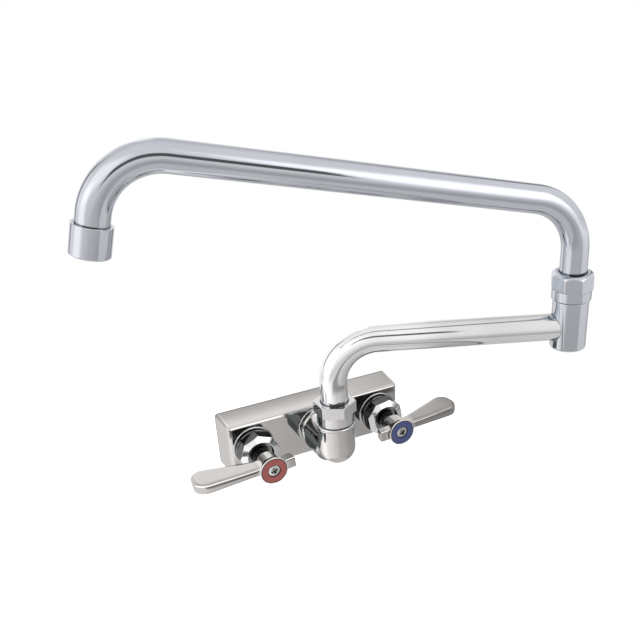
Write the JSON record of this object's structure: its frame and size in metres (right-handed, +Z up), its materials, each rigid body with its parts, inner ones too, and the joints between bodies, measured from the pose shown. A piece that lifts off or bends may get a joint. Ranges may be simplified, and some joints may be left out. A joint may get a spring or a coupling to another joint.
{
  "type": "splash mount faucet",
  "caption": "Wall-mounted two-handle faucet with quarter-turn levers and a double-jointed swing spout that ends in a straightened outlet.",
  "frame": {"origin": "middle of the body's back face, where it lies on the wall", "axes": "+X from the hot valve to the cold valve, +Y into the wall, +Z up"},
  "size_m": [0.321, 0.1355, 0.2497],
  "materials": {
    "chrome_body": "polished",
    "chrome_tube": "polished",
    "brass": "machined",
    "stem_steel": "machined",
    "screw_steel": "bright",
    "rubber": "matte",
    "ceramic": "lapped",
    "slip_plastic": "moulded",
    "index_red": "satin",
    "index_blue": "satin"
  },
  "bodies": {
    "body": {"body_casting": "chrome_body", "hot_seat_seal": "rubber", "cold_seat_seal": "rubber", "hot_fixed_disc": "ceramic", "cold_fixed_disc": "ceramic", "hot_cartridge": "brass", "cold_cartridge": "brass", "hot_cartridge_o_ring": "rubber", "cold_cartridge_o_ring": "rubber", "hot_bonnet_nut": "chrome_body", "cold_bonnet_nut": "chrome_body", "lower_swivel_nut": "chrome_tube", "lower_swivel_washer": "slip_plastic"},
    "arm_1": {"lower_spigot": "brass", "lower_spigot_o_rings": "rubber", "arm_1_tube": "chrome_tube", "arm_1_end_casting": "chrome_tube", "upper_swivel_nut": "chrome_tube", "upper_swivel_washer": "slip_plastic"},
    "arm_2": {"upper_spigot": "brass", "upper_spigot_o_rings": "rubber", "arm_2_tube": "chrome_tube", "outlet_gasket": "rubber", "flow_straightener": "slip_plastic", "outlet_collar": "chrome_tube"},
    "hot_handle": {"hot_lever": "chrome_body", "hot_index_ring": "index_red", "hot_handle_screw": "screw_steel", "hot_stem": "stem_steel", "hot_stem_o_rings": "rubber", "hot_moving_disc": "ceramic"},
    "cold_handle": {"cold_lever": "chrome_body", "cold_index_ring": "index_blue", "cold_handle_screw": "screw_steel", "cold_stem": "stem_steel", "cold_stem_o_rings": "rubber", "cold_moving_disc": "ceramic"}
  },
  "joints": [
    {"name": "lower_swivel", "type": "hinge", "parent": "body", "child": "arm_1", "pos_m": [0, -0.05685, 0.0217], "axis": [0, 0, 1], "range_deg": [-170, 35]},
    {"name": "upper_swivel", "type": "hinge", "parent": "arm_1", "child": "arm_2", "pos_m": [0.15396, -0.12062, 0.1041], "axis": [0, 0, 1], "continuous": true},
    {"name": "hot_valve", "type": "hinge", "parent": "body", "child": "hot_handle", "pos_m": [-0.0508, -0.0546, 0], "axis": [0, -1, 0], "range_deg": [0, 90]},
    {"name": "cold_valve", "type": "hinge", "parent": "body", "child": "cold_handle", "pos_m": [0.0508, -0.0546, 0], "axis": [0, 1, 0], "range_deg": [0, 90]}
  ]
}
